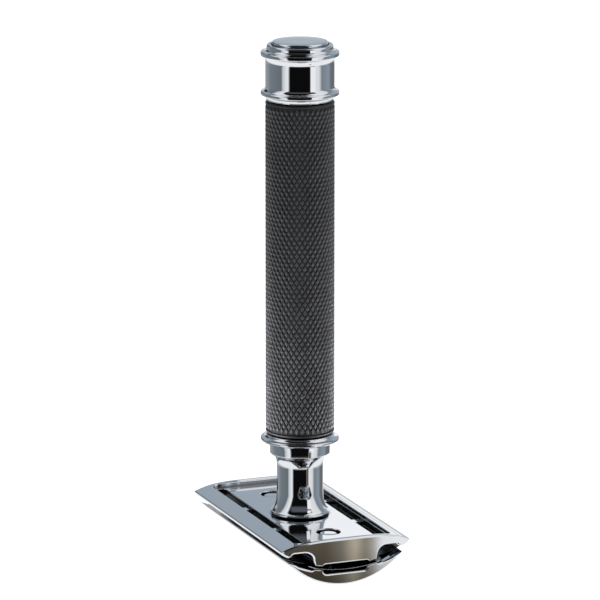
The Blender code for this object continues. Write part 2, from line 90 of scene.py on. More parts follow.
# Head sections.
SLIM_GAP = 0.12 * MM
CAST_EDGE = 0.34 * MM  # rounding of the castings' outer edges
CUT_EDGE = 0.16 * MM  # rounding where a casting is cut
FIT_SHARE = 0.85  # of the largest circle that fits at a point, used by the rounding
CROWN_RADIUS = 13.8 * MM
CAP_HALF_LENGTH = reach_of("cap")
CAP_HALF_WIDTH = 10.4 * MM
CAP_RIM_STEP = 0.08 * MM
CAP_RECESS_FLOOR = -4.65 * MM
CAP_RECESS_TOP = (3.95 * MM, -4.05 * MM)
CAP_RECESS_HALF_WIDTH = 3.3 * MM
CAP_LAND_YS = (10.25 * MM, 9.0 * MM)
CAP_RELIEF = ((8.4 * MM, -2.95 * MM), (7.2 * MM, -3.4 * MM), (6.1 * MM, -3.75 * MM))
SEAT_YS = (5.6 * MM, 4.3 * MM)
SEAT_STEP = 0.1 * MM
PLATE_HALF_LENGTH = PLATE_HIGH.x
PLATE_HALF_WIDTH = PLATE_HIGH.y
PLATE_TIP_RADIUS = 0.2 * MM
PLATE_TIP_ARC = (math.radians(30), math.radians(140))
PLATE_LIP = (
    (11.3 * MM, -0.7 * MM),
    (10.6 * MM, -1.1 * MM),
    (10.35 * MM, -1.2 * MM),
    (10.1 * MM, -1.12 * MM),
)
CHANNEL_ROOF = -0.65 * MM
CHANNEL_ROOF_YS = (7.6 * MM, 9.2 * MM)
CHANNEL_INNER_FOOT = (5.85 * MM, -2.1 * MM)
CHANNEL_OUTER_FOOT = (9.75 * MM, -0.95 * MM)
PLATE_RECESS_ROOF = -3.05 * MM
PLATE_RECESS_SIDE = ((4.0 * MM, -3.2 * MM), (3.7 * MM, PLATE_RECESS_ROOF))
PLATEAU_Z = 0.3 * MM
END_RIM_WIDTH = 0.9 * MM
POCKET_CORNER_RADIUS = 1.2 * MM
SLOT_YS = (6.5 * MM, 8.6 * MM)
SLOT_HALF_LENGTH = 19.3 * MM
SLOT_RIB_X = 7.0 * MM
SLOT_RIB_HALF_WIDTH = 0.8 * MM
SLOT_RIB_TOP = -0.12 * MM
SLOT_LEDGE = 0.12 * MM
SLOT_CORNER_RADIUS = 0.6 * MM
GROOVE_EDGE = 0.8 * SLOT_LEDGE
WINDOW_FLOOR = -2.5 * MM  # below the roof of the channels, so that the windows go through
ABOVE_HEAD = 3 * MM  # above every face of the head, where its cutters end

# Posts, stud and thread.
POST_X = 13.0 * MM
POST_RADIUS = 1.6 * MM
POST_TOP = 0.1 * MM
POST_EDGE = 0.5 * MM
POST_HOLE_RADIUS = 2.05 * MM
STUD_HOLE_RADIUS = 2.9 * MM
BOSS_RADIUS = 4.2 * MM
BOSS_TOP = -4.15 * MM
BOSS_EDGE = 0.15 * MM
SOCKET_RADIUS = 2.2 * MM
SOCKET_FLOOR = -6.35 * MM
CASTING_EMBED = 0.5 * MM  # how far the posts and the boss run into the cap
THREAD_PITCH = 0.8 * MM
THREAD_CREST_RADIUS = 2.5 * MM
THREAD_ROOT_RADIUS = 2.01 * MM
THREAD_CREST_HALF_WIDTH = 0.05 * MM
THREAD_FLANK_ANGLE = math.radians(30)
THREAD_SLACK = 0.12 * MM
THREAD_FLANK_SLACK = 0.06 * MM
THREAD_EMBED = 0.15 * MM
THREAD_START = -2.0 * MM
STUD_TURNS = 13
STUD_EDGE = 0.4 * MM
NECK_SKIP = 3
NECK_TURNS = 12

# Blade.
BLADE_THICKNESS = 0.1 * MM
BLADE_MIDDLE_Z = -3.9 * MM
BLADE_BEND_RADIUS = 26.6 * MM
BLADE_EDGE_LENGTH = 37.6 * MM
BLADE_WIDTH = 22.0 * MM
BLADE_TAB_WIDTH = 13.6 * MM
BLADE_TAB_CHAMFER = 1.0 * MM
BLADE_GRIND_WIDTH = 0.8 * MM
BLADE_EDGE_SHARE = 0.1  # of the blade's thickness, left at its ground edges
BLADE_BEND_SLICES = 45
BLADE_SLOT = (35.0 * MM, 1.7 * MM)
BLADE_HOLE_RADII = (2.0 * MM, 3.0 * MM)

# Handle.
NECK_FOOT_RADIUS = 5.0 * MM
NECK_FOOT_BEAD = 0.35 * MM
NECK_WAIST_RADIUS = 4.0 * MM
NECK_WAIST_ZS = (4.4 * MM, 8.8 * MM)
NECK_SWELL_TOP = 11.0 * MM
NECK_LIP_RADIUS = reach_of("neck")
NECK_LIP_BOTTOM = 11.2 * MM
NECK_LIP_GAP = 0.2 * MM
NECK_BORE_TOP = 10.7 * MM
NECK_BORE_CONE = 0.4 * MM
NECK_WEB = 1.5 * MM
COUNTERSINK_MARGIN = 0.1 * MM
COLLAR_BORE_GAP = 0.3 * MM
COLLAR_RELIEF_GAP = 0.25 * MM
COLLAR_RELIEF_DEPTH = 0.1 * MM
COLLAR_TOP_STEP = 0.2 * MM
COLLAR_EDGE = 0.06 * MM
COLLAR_RIM_ZS = (0.2 * MM, 0.5 * MM, 0.6 * MM)  # over the seat: chamfer, upright, cove
FLANGE_RADIUS = reach_of("end_knob")
GRIP_RADIUS = GRIP_HIGH.x
SPIGOT_RADIUS = 4.2 * MM
SOCKET_WALL_RADIUS = 3.2 * MM
GRIP_BORE_RADIUS = 4.5 * MM

# End knob and disc; depths are below the knob's top.
DISC_SIDE_GAP = 0.12 * MM
DISC_FLOOR_GAP = 0.3 * MM
DISC_EDGE = 0.3 * MM
KNOB_STEP_RADIUS = 5.65 * MM
KNOB_STEP_EDGE = 0.3 * MM
KNOB_STEP_DEPTH = 0.7 * MM
UPPER_FLANGE_DEPTHS = (1.3 * MM, 1.85 * MM)
BARREL_DEPTHS = (3.1 * MM, 7.15 * MM)
LOWER_FLANGE_DEPTHS = (8.05 * MM, 8.5 * MM)
KNOB_SOCKET_DEPTH = 5.8 * MM
KNOB_FOOT_GAP = 0.3 * MM
COVE_STEP = 0.1 * MM  # a small square step where a cove meets a flange

# Knurl of the grip.
KNURLS_AROUND = 40
KNURL_HEIGHT = 1.51 * MM
KNURL_DEPTH = 0.2 * MM
KNURL_TOP_SHARE = 0.36
GRIP_END_BAND = 0.45 * MM
GRIP_END_SHOULDER = 0.08 * MM
GRIP_END_EDGE = 0.2 * MM
GRIP_END_STEPS = 4  # points of an end band for each column of the knurl
GRIP_END_WEAR = 0.3

# Fineness and tolerances of the meshes.
ROUND_STEPS = 160
POST_STEPS = 64
BOSS_STEPS = 96
THREAD_STEPS = 40
TURNED_EDGE = 0.08 * MM
SHARP_ANGLE = math.radians(32)
SMALLEST_CORNER = math.radians(20)
ARM_SHARE = 0.4  # of a corner's shorter side, the most that rounding may take
FLARE_ANGLE = math.radians(75)
FLARE_END_SHARE = 1.2
SQUARE_TO_X = 0.9999
GRAZING_SHARE = 0.02  # points nearly along a surface are left out of its circle fit
MERGE_DISTANCE = 1e-7

# The studio. Azimuth 0 looks along +Y, and 90 along -X.
VIEW_AZIMUTH = 68.3
VIEW_ELEVATION = 13.0
LENS = 278
TABLE_EDGE = -0.225  # the height of a ray that leaves an upright surface for the camera
TABLE_HALF_WIDTH = 6
FLOOR_DROP = 90 * MM  # a stand holds the razor's head this far above the table


# ---- node helpers


def connect(tree, target, inputs):
    """Sets a node's inputs to values or to other nodes' outputs."""
    for key, value in inputs.items():
        if isinstance(value, bpy.types.NodeSocket):
            tree.links.new(value, target.inputs[key])
        else:
            target.inputs[key].default_value = value


def node(tree, kind, inputs=None, **settings):
    """A shader node; each input is a value or another node's output."""
    made = tree.nodes.new(kind)
    for name, value in settings.items():
        setattr(made, name, value)
    connect(tree, made, inputs or {})
    return made


def math_node(tree, operation, a, b=0.0):
    return node(tree, "ShaderNodeMath", {0: a, 1: b}, operation=operation).outputs[0]


def product(tree, a, b):
    return math_node(tree, "MULTIPLY", a, b)


def mapped(tree, value, low, high, to_low, to_high):
    """The value moved from one range to another, and held at the ends."""
    inputs = {0: value, 1: low, 2: high, 3: to_low, 4: to_high}
    return node(tree, "ShaderNodeMapRange", inputs).outputs[0]


def ramp(tree, value, stops):
    """A colour ramp through (place, colour) stops."""
    made = node(tree, "ShaderNodeValToRGB", {0: value})
    band = made.color_ramp
    while len(band.elements) < len(stops):
        band.elements.new(0.5)
    for element, (place, colour) in zip(band.elements, stops):
        element.position = place
        element.color = (*colour, 1)
    return made.outputs[0]


def mixed(tree, factor, a, b):
    """Colour a where factor is 0, and b where it is 1."""
    made = node(tree, "ShaderNodeMix", {0: factor}, data_type="RGBA")
    for key, colour in ((6, a), (7, b)):
        is_socket = isinstance(colour, bpy.types.NodeSocket)
        connect(tree, made, {key: colour if is_socket else (*colour, 1)})
    return made.outputs[2]


def noise(tree, vector, scale, detail=2.0, roughness=0.5):
    inputs = {"Vector": vector, "Scale": scale, "Detail": detail, "Roughness": roughness}
    return node(tree, "ShaderNodeTexNoise", inputs).outputs[0]


def bumped(tree, height, strength):
    """A normal for surface detail up to a hundredth of a millimetre high."""
    inputs = {"Strength": strength, "Distance": BUMP_HEIGHT, "Height": height}
    return node(tree, "ShaderNodeBump", inputs).outputs[0]


def closed_in(tree, reach, shut, clear):
    """1 where nearby surfaces shut a point in, and 0 where it lies open."""
    inputs = {"Distance": reach}
    openness = node(tree, "ShaderNodeAmbientOcclusion", inputs, samples=CREVICE_SAMPLES)
    return mapped(tree, openness.outputs["AO"], shut, clear, 1, 0)


def stretched(tree, scale=(1, 1, 1)):
    """Object coordinates in metres, scaled along each axis."""
    place = node(tree, "ShaderNodeTexCoord").outputs["Object"]
    return node(tree, "ShaderNodeMapping", {"Vector": place, "Scale": scale}).outputs[0]


def new_material(name):
    """A node material, its tree and its shader."""
    material = bpy.data.materials.new(name)
    material.use_nodes = True
    tree = material.node_tree
    return material, tree, tree.nodes["Principled BSDF"]


# ---- materials


BUMP_HEIGHT = 0.01 * MM
# Scales of the polishing marks along X, Y and Z.
CAST_GRAIN = (300, 9000, 9000)
TURNED_GRAIN = (600, 600, 22000)
STUD_GRAIN = (500, 500, 30000)
BLADE_GRAIN = (200, 24000, 200)
# How far from a surface another one paints shade on it, and on chrome also raises its roughness.
CAST_CREVICE = 1.6 * MM
TURNED_CREVICE = 0.8 * MM
STEEL_CREVICE = 3 * MM
CREVICE_SAMPLES = 8
# Openness that counts as shut in, and as clear.
CHROME_OPENNESS = (0.35, 0.8)
STEEL_OPENNESS = (0.3, 0.8)
CHROME_ROUGHNESS = (0.018, 0.06)
CREVICE_ROUGHNESS = 0.3
COATING_ROUGHNESS = (0.34, 0.48)
STUD_ROUGHNESS = (0.2, 0.32)
BLADE_ROUGHNESS = (0.12, 0.24)
CHROME_TONES = ((0.83, 0.845, 0.87), (0.87, 0.88, 0.90))
# Near black painted into the chrome's base colour where other surfaces shut it in: painted shade.
CHROME_SHADE_TONE = (0.03, 0.03, 0.03)
COATING_TONES = ((0.010, 0.010, 0.011), (0.022, 0.022, 0.024))
WORN_TONE = (0.068, 0.069, 0.072)
STUD_TONE = (0.60, 0.61, 0.62)
BLADE_TONE = (0.70, 0.71, 0.72)
# Near black painted into the steel's base colour where other surfaces shut it in: painted shade.
STEEL_SHADE_TONE = (0.02, 0.02, 0.02)
SLOT_SHADE_EDGE = 0.05 * MM  # over which the painted shade on the slot walls fades out


def slot_wall_shade(tree):
    """1 on the walls of the guard plate's slots, where shade is painted, and 0 elsewhere on it."""
    place = node(tree, "ShaderNodeTexCoord").outputs["Object"]
    parts = node(tree, "ShaderNodeSeparateXYZ", {0: place})
    x = math_node(tree, "ABSOLUTE", parts.outputs["X"])
    y = math_node(tree, "ABSOLUTE", parts.outputs["Y"])
    z = parts.outputs["Z"]
    from_rib = math_node(tree, "ABSOLUTE", math_node(tree, "SUBTRACT", x, SLOT_RIB_X))
    top = GUARD_Z + PLATEAU_Z
    rib_top = GUARD_Z + SLOT_RIB_TOP

    def rises_after(value, edge, width=SLOT_SHADE_EDGE):
        return mapped(tree, value, edge, edge + width, 0, 1)

    def falls_after(value, edge, width=SLOT_SHADE_EDGE):
        return mapped(tree, value, edge, edge + width, 1, 0)

    across = product(tree, rises_after(y, SLOT_YS[0] - SLOT_SHADE_EDGE), falls_after(y, SLOT_YS[1]))
    below = falls_after(z, top - 4 * SLOT_SHADE_EDGE, 3 * SLOT_SHADE_EDGE)
    off_rib = rises_after(from_rib, SLOT_RIB_HALF_WIDTH, 2 * SLOT_SHADE_EDGE)
    under_rib = falls_after(z, rib_top - 2 * SLOT_SHADE_EDGE, 1.4 * SLOT_SHADE_EDGE)
    clear = math_node(tree, "MAXIMUM", off_rib, under_rib)
    along = product(tree, falls_after(x, SLOT_HALF_LENGTH), clear)
    return product(tree, product(tree, across, below), along)


def chrome(name, grain, crevice, slotted=False):
    """Mirror plating with faint polishing marks and smudges, with painted shade and more roughness
    in crevices.

    grain is the scale of the marks along X, Y and Z; crevice is the reach of the painted shade and
    roughness.
    A slotted casting gets painted shade and more roughness inside its slots as well.
    """
    material, tree, shader = new_material(name)
    even = stretched(tree)
    smudge = noise(tree, even, 140, 4, 0.6)
    marks = noise(tree, stretched(tree, grain), 1, 3, 0.6)
    waves = noise(tree, even, 120, 1)
    # Painted shade: where other surfaces shut the plating in, its colour is darkened to near black
    # and its roughness raised.
    shade_and_dull = closed_in(tree, crevice, *CHROME_OPENNESS)
    # Inside the slots, shade is painted on the walls as well.
    if slotted:
        shade_and_dull = math_node(tree, "MAXIMUM", shade_and_dull, slot_wall_shade(tree))
    polish = mapped(tree, smudge, 0.35, 0.75, *CHROME_ROUGHNESS)
    height = math_node(tree, "ADD", product(tree, waves, 6.0), marks)
    connect(tree, shader, {
        "Base Color": mixed(tree, shade_and_dull, mixed(tree, smudge, *CHROME_TONES), CHROME_SHADE_TONE),
        "Metallic": 1.0,
        "Roughness": math_node(tree, "MAXIMUM", polish, product(tree, shade_and_dull, CREVICE_ROUGHNESS)),
        "Normal": bumped(tree, height, 0.05),
    })
    return material


def black_grip():
    """Satin black coating, worn to a lighter grey on the crests of the knurl."""
    material, tree, shader = new_material("black_knurled_coating")
    even = stretched(tree)
    crest = node(tree, "ShaderNodeAttribute", attribute_name="crest").outputs["Fac"]
    patches = noise(tree, even, 160, 4, 0.65)
    speckle = noise(tree, even, 5200, 2)
    worn = product(tree, crest, mapped(tree, patches, 0.3, 0.7, 0.45, 1))
    connect(tree, shader, {
        "Base Color": mixed(tree, worn, mixed(tree, speckle, *COATING_TONES), WORN_TONE),
        "Metallic": 0.35,
        "Roughness": mapped(tree, patches, 0.3, 0.7, *COATING_ROUGHNESS),
        "Normal": bumped(tree, speckle, 0.3),
    })
    return material


def brushed_steel(name, grain, tone, roughness):
    """Plain steel with fine marks along one direction, and painted shade where other surfaces shut
    it in.
    """
    material, tree, shader = new_material(name)
    lines = noise(tree, stretched(tree, grain), 1, 4, 0.7)
    patches = noise(tree, stretched(tree), 210, 3)
    # Painted shade: shut-in places of the steel are darkened to near black.
    hidden = closed_in(tree, STEEL_CREVICE, *STEEL_OPENNESS)
    darker = tuple(0.72 * part for part in tone)
    connect(tree, shader, {
        "Base Color": mixed(tree, hidden, mixed(tree, lines, darker, tone), STEEL_SHADE_TONE),
        "Metallic": 1.0,
        "Roughness": mapped(tree, patches, 0.3, 0.7, *roughness),
        "Normal": bumped(tree, lines, 0.25),
    })
    return material


# ---- mesh helpers


def placed(name, data):
    """A new object in the scene, made of a mesh, curve, lamp or camera."""
    data.name = name
    made = bpy.data.objects.new(name, data)
    bpy.context.scene.collection.objects.link(made)
    return made


def evaluated_mesh(holder):
    """The object's mesh with its modifiers applied."""
    graph = bpy.context.evaluated_depsgraph_get()
    graph.update()
    return bpy.data.meshes.new_from_object(holder.evaluated_get(graph))


def add_piece(name, mesh, material, cad_node):
    """Puts a finished mesh in the scene in place of a CAD node, on the same body."""
    record = frame["record"]
    groups = record["behaviour"]["bodies"].items()
    body = next(group for group, members in groups if cad_node in members)
    mesh.materials.clear()
    mesh.materials.append(material)
    piece = placed(name, mesh)
    mesh.shade_smooth()
    mesh.set_sharp_from_angle(angle=SHARP_ANGLE)
    mark_flat_ends(mesh)
    even = piece.modifiers.new("Even", "WEIGHTED_NORMAL")
    even.keep_sharp = True
    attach(piece, body)
    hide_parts(cad_node)


def mark_flat_ends(mesh):
    """Makes the borders of faces square to X sharp, so that end faces mirror as true flats."""
    shape = bmesh.new()
    shape.from_mesh(mesh)
    for edge in shape.edges:
        square = [abs(face.normal.x) > SQUARE_TO_X for face in edge.link_faces]
        if any(square) and not all(square):
            edge.smooth = False
    shape.to_mesh(mesh)
    shape.free()


def mesh_from(shape):
    """The finished mesh of a bmesh, with doubled points merged and faces turned outwards."""
    bmesh.ops.remove_doubles(shape, verts=shape.verts, dist=MERGE_DISTANCE)
    bmesh.ops.recalc_face_normals(shape, faces=shape.faces)
    mesh = bpy.data.meshes.new("mesh")
    shape.to_mesh(mesh)
    shape.free()
    return mesh


def shifted(mesh, x):
    """The mesh moved along X."""
    for vertex in mesh.vertices:
        vertex.co.x += x
    return mesh


def polar(radius, angle):
    """The two coordinates of a point at a radius and an angle."""
    return radius * math.cos(angle), radius * math.sin(angle)


def spread(start, end, count):
    """Evenly spaced values, with both ends."""
    return [start + (end - start) * i / (count - 1) for i in range(count)]


def quarter(r_steep, z_steep, r_flat, z_flat, count=10):
    """Points of a quarter ellipse, upright at its first point and level at its last."""
    points = []
    for angle in spread(0, QUARTER, count + 1):
        r = r_flat - (r_flat - r_steep) * math.cos(angle)
        points.append((r, z_steep + (z_flat - z_steep) * math.sin(angle)))
    return points


def rounding(start, end, count):
    """Steps round a rounded edge of unit radius: how far in, and how far short of its end."""
    return [(1 - math.cos(a), 1 - math.sin(a)) for a in spread(start, end, count)]


def softened(profile, radius, closed=False):
    """The profile with every corner above SMALLEST_CORNER rounded off."""
    made = []
    count = len(profile)
    for i, (r, z) in enumerate(profile):
        if not closed and i in (0, count - 1):
            made.append((r, z))
            continue
        before, after = profile[i - 1], profile[(i + 1) % count]
        arm_a = (before[0] - r, before[1] - z)
        arm_b = (after[0] - r, after[1] - z)
        length_a, length_b = math.hypot(*arm_a), math.hypot(*arm_b)
        along = -(arm_a[0] * arm_b[0] + arm_a[1] * arm_b[1]) / (length_a * length_b)
        if along > math.cos(SMALLEST_CORNER):
            made.append((r, z))
            continue
        reach = min(radius, ARM_SHARE * length_a, ARM_SHARE * length_b)
        start = (r + arm_a[0] / length_a * reach, z + arm_a[1] / length_a * reach)
        end = (r + arm_b[0] / length_b * reach, z + arm_b[1] / length_b * reach)
        for t in spread(0, 1, 6):
            share = ((1 - t) ** 2, 2 * t * (1 - t), t * t)
            made.append(tuple(
                share[0] * a + share[1] * b + share[2] * c
                for a, b, c in zip(start, (r, z), end)
            ))
    return made


def join_rings(shape, first, second):
    """A band of faces between two rings of as many points; one may be a repeated point."""
    count = len(first)
    for k in range(count):
        following = (k + 1) % count
        corners = (first[k], first[following], second[following], second[k])
        unique = list(dict.fromkeys(corners))
        if len(unique) > 2:
            shape.faces.new(unique)


def turned(profile, edge=TURNED_EDGE, closed=False, steps=ROUND_STEPS):
    """A mesh turned from (radius, height) points; heights are from the guard plane."""
    points = softened(profile, edge, closed)
    shape = bmesh.new()
    rings = []
    for r, z in points:
        if r < MERGE_DISTANCE:
            rings.append([shape.verts.new((0, 0, GUARD_Z + z))] * steps)
            continue
        rings.append([
            shape.verts.new((*polar(r, TAU * k / steps), GUARD_Z + z)) for k in range(steps)
        ])
    if closed:
        rings.append(rings[0])
    for first, second in zip(rings, rings[1:]):
        join_rings(shape, first, second)
    return mesh_from(shape)


def lofted(rings):
    """A closed mesh through rings that have the same number of (x, y, z) points."""
    shape = bmesh.new()
    made = [[shape.verts.new(point) for point in ring] for ring in rings]
    for first, second in zip(made, made[1:]):
        join_rings(shape, first, second)
    shape.faces.new(made[0])
    shape.faces.new(made[-1])
    return mesh_from(shape)


def cut_or_join(mesh, others, operation, solver="EXACT"):
    """The mesh after Booleans with each of the other meshes."""
    base = placed("base", mesh)
    helpers = [placed("helper", other) for other in others]
    for helper in helpers:
        modifier = base.modifiers.new("Boolean", "BOOLEAN")
        modifier.operation = operation
        modifier.solver = solver
        modifier.object = helper
    result = evaluated_mesh(base)
    for helper in [base, *helpers]:
        bpy.data.objects.remove(helper)
    return result


# ---- head castings


def blade_height(y):
    """The height of the bent blade's middle surface."""
    return BLADE_MIDDLE_Z + y * y / (2 * BLADE_BEND_RADIUS)


def crown_height(y):
    """The height of the cap's outside, a part of a cylinder."""
    return CROWN_RADIUS - GUARD_Z - math.sqrt(CROWN_RADIUS**2 - y * y)


def arch_height(y):
    """The height of the guard plate's arched back."""
    return ARCH_RISE * (1 - (y / PLATE_HALF_WIDTH) ** ARCH_POWER)


def both_sides(half):
    """A whole section from its +Y half, which starts and ends on the middle line."""
    return half + [(-y, z) for y, z in reversed(half) if y > 0]


def inward_offsets(section, reach):
    """For each point, the step inwards that rounds an end face by at most reach.

    A step stays inside the largest circle that fits in the section at its point.
    """
    points = [Vector(point) for point in section]
    following = points[1:] + points[:1]
    doubled_area = sum(point.cross(after) for point, after in zip(points, following))
    turn = 1 if doubled_area > 0 else -1
    steps = []
    for i, (point, after) in enumerate(zip(points, following)):
        along = (point - points[i - 1]).normalized() + (after - point).normalized()
        inwards = turn * along.orthogonal().normalized()
        size = reach
        for other in points:
            chord = other - point
            ahead = chord.dot(inwards)
            if ahead > GRAZING_SHARE * chord.length:
                size = min(size, FIT_SHARE * chord.length_squared / (2 * ahead))
        steps.append(inwards * size)
    return steps


def rounded_bar(section, half_length, edge):
    """A (y, z) section run along X, with its end edges rounded."""
    inwards = inward_offsets(section, edge)
    stations = [(half_length - edge * short, share) for share, short in rounding(0, QUARTER, 7)]
    stations = [(-x, share) for x, share in reversed(stations)] + stations
    rings = []
    for x, share in stations:
        rings.append([
            (x, y + dy * share, GUARD_Z + z + dz * share)
            for (y, z), (dy, dz) in zip(section, inwards)
        ])
    return lofted(rings)


def rounded_rectangle(xs, ys, radius, margin=0.0, count=8):
    """A rectangle's outline, counter-clockwise, grown by margin."""
    points = []
    grown = radius + margin
    centres = (
        (xs[1] - radius, ys[1] - radius),
        (xs[0] + radius, ys[1] - radius),
        (xs[0] + radius, ys[0] + radius),
        (xs[1] - radius, ys[0] + radius),
    )
    for quadrant, (x, y) in enumerate(centres):
        for angle in spread(QUARTER * quadrant, QUARTER * (quadrant + 1), count + 1):
            dx, dy = polar(grown, angle)
            points.append((x + dx, y + dy))
    return points


def flared_cutter(xs, ys, radius, floor, surface, edge=CUT_EDGE):
    """A cutter down to floor that leaves a rounded edge on the face at surface(y)."""
    rings = [[(x, y, GUARD_Z + floor) for x, y in rounded_rectangle(xs, ys, radius)]]
    for wider, lower in rounding(0, FLARE_ANGLE, 6):
        outline = rounded_rectangle(xs, ys, radius, edge * wider)
        rings.append([(x, y, GUARD_Z + surface(y) - edge * lower) for x, y in outline])
    outline = rounded_rectangle(xs, ys, radius, edge * FLARE_END_SHARE)
    rings.append([(x, y, GUARD_Z + ABOVE_HEAD) for x, y in outline])
    return lofted(rings)


def round_cutter(radius, low, top, x, edge=CUT_EDGE):
    """A round cutter that leaves a rounded edge at the height top."""
    profile = [(0, ABOVE_HEAD), (radius + edge * FLARE_END_SHARE, ABOVE_HEAD)]
    flare = rounding(FLARE_ANGLE, 0, 6)
    profile += [(radius + edge * wider, top - edge * lower) for wider, lower in flare]
    profile += [(radius, low), (0, low)]
    return shifted(turned(profile, edge=0, steps=POST_STEPS), x)


def cap_section():
    """The cap cut across: crown, land under the blade's edge, relief, seat and recess."""
    under_blade = BLADE_THICKNESS / 2 + SLIM_GAP
    crown = [(y, crown_height(y)) for y in spread(0, CAP_HALF_WIDTH - CAP_RIM_STEP, 60)]
    land = [(y, blade_height(y) - under_blade) for y in spread(*CAP_LAND_YS, 8)]
    seat_ys = spread(SEAT_YS[0] - 2 * SEAT_STEP, SEAT_YS[1], 8)
    seat = [(y, blade_height(y) - under_blade) for y in seat_ys]
    recess = quarter(*CAP_RECESS_TOP, CAP_RECESS_HALF_WIDTH, CAP_RECESS_FLOOR, 8)
    half = crown + land + list(CAP_RELIEF) + seat + recess + [(0, CAP_RECESS_FLOOR)]
    return both_sides(half)


def cap_pillar(radius, top, edge, steps, x):
    """A round pillar that stands on the floor of the cap's recess."""
    foot = CAP_RECESS_FLOOR - CASTING_EMBED
    profile = [(0, top), (radius, top), (radius, foot), (0, foot)]
    return shifted(turned(profile, edge, steps=steps), x)


def make_cap():
    """The cap with its boss, the socket in it and two posts."""
    cap = rounded_bar(cap_section(), CAP_HALF_LENGTH, CAST_EDGE)
    pillars = [cap_pillar(BOSS_RADIUS, BOSS_TOP, BOSS_EDGE, BOSS_STEPS, 0)]
    for x in (-POST_X, POST_X):
        pillars.append(cap_pillar(POST_RADIUS, POST_TOP, POST_EDGE, POST_STEPS, x))
    socket = round_cutter(SOCKET_RADIUS, SOCKET_FLOOR, BOSS_TOP, 0)
    return cut_or_join(cut_or_join(cap, pillars, "UNION"), [socket], "DIFFERENCE")


def plate_section():
    """The guard plate cut across: arch, tip, lip, channel, seat on the blade and recess."""
    over_blade = BLADE_THICKNESS / 2 + SLIM_GAP
    tip_y = PLATE_HALF_WIDTH - PLATE_TIP_RADIUS
    arch = [(y, arch_height(y)) for y in spread(0, tip_y, 64)]
    tip_z = arch[-1][1] - PLATE_TIP_RADIUS
    tip = [
        (tip_y + PLATE_TIP_RADIUS * math.sin(a), tip_z + PLATE_TIP_RADIUS * math.cos(a))
        for a in spread(*PLATE_TIP_ARC, 8)
    ]
    channel = quarter(*CHANNEL_OUTER_FOOT, CHANNEL_ROOF_YS[1], CHANNEL_ROOF, 6)
    channel += quarter(*CHANNEL_INNER_FOOT, CHANNEL_ROOF_YS[0], CHANNEL_ROOF, 12)[::-1]
    seat = [(SEAT_YS[0], blade_height(SEAT_YS[0]) + over_blade + SEAT_STEP)]
    seat_ys = spread(SEAT_YS[0] - SEAT_STEP, SEAT_YS[1], 8)
    seat += [(y, blade_height(y) + over_blade) for y in seat_ys]
    recess = [*PLATE_RECESS_SIDE, (0, PLATE_RECESS_ROOF)]
    return both_sides(arch + tip + list(PLATE_LIP) + channel + seat + recess)


def plateau_height(_):
    """The height of the level plateau, the same at every y."""
    return PLATEAU_Z


def window_cutter(span, ys):
    """A cutter with upright walls that goes through the floor of a slot's groove."""
    outline = rounded_rectangle(span, ys, SLOT_CORNER_RADIUS)
    levels = (GUARD_Z + WINDOW_FLOOR, GUARD_Z + ABOVE_HEAD)
    return lofted([[(x, y, level) for x, y in outline] for level in levels])


def slot_cutters(sign):
    """The cutters of one lather slot: a groove down to the ribs, and windows between them."""
    ys = sorted((sign * SLOT_YS[0], sign * SLOT_YS[1]))
    groove = flared_cutter(
        (-SLOT_HALF_LENGTH, SLOT_HALF_LENGTH), ys, SLOT_CORNER_RADIUS,
        SLOT_RIB_TOP, plateau_height, GROOVE_EDGE,
    )
    window_ys = (ys[0] + SLOT_LEDGE, ys[1] - SLOT_LEDGE)
    end = SLOT_HALF_LENGTH - SLOT_LEDGE
    rib_low, rib_high = SLOT_RIB_X - SLOT_RIB_HALF_WIDTH, SLOT_RIB_X + SLOT_RIB_HALF_WIDTH
    spans = ((-end, -rib_high), (-rib_low, rib_low), (rib_high, end))
    return [groove, *(window_cutter(span, window_ys) for span in spans)]


def make_plate():
    """The guard plate with its sunk plateau, two slots and three holes."""
    plate = rounded_bar(plate_section(), PLATE_HALF_LENGTH, CAST_EDGE)
    reach_x = PLATE_HALF_LENGTH - END_RIM_WIDTH
    reach_y = SLOT_YS[1] + SLOT_LEDGE
    cutters = [flared_cutter(
        (-reach_x, reach_x), (-reach_y, reach_y), POCKET_CORNER_RADIUS, PLATEAU_Z, arch_height
    )]
    for sign in (-1, 1):
        cutters += slot_cutters(sign)
    holes = ((-POST_X, POST_HOLE_RADIUS), (0, STUD_HOLE_RADIUS), (POST_X, POST_HOLE_RADIUS))
    for x, radius in holes:
        cutters.append(round_cutter(radius, 2 * WINDOW_FLOOR, PLATEAU_Z, x))
    return cut_or_join(plate, cutters, "DIFFERENCE", "MANIFOLD")


# ---- blade


def blade_outline():
    """The flat blade's outline: two long edges and a narrower tab at each end."""
    tab = BLADE_TAB_WIDTH / 2
    half_length = reach_of("blade")
    corner = [
        (half_length, tab - BLADE_TAB_CHAMFER),
        (half_length - BLADE_TAB_CHAMFER, tab),
        (BLADE_EDGE_LENGTH / 2, tab),
        (BLADE_EDGE_LENGTH / 2, BLADE_WIDTH / 2),
    ]
    upper = corner + [(-x, y) for x, y in reversed(corner)]
    return upper + [(-x, -y) for x, y in upper]


def blade_opening():
    """The outline of the joined slot and three round holes."""
    half = BLADE_SLOT[1] / 2
    upper = [(-BLADE_SLOT[0] / 2, half)]
    small, large = BLADE_HOLE_RADII
    for x, radius in ((-POST_X, small), (0, large), (POST_X, small)):
        start = math.asin(half / radius)
        for angle in spread(math.pi - start, start, 17):
            dx, y = polar(radius, angle)
            upper.append((x + dx, y))
    upper.append((BLADE_SLOT[0] / 2, half))
    return upper + [(x, -y) for x, y in reversed(upper)]


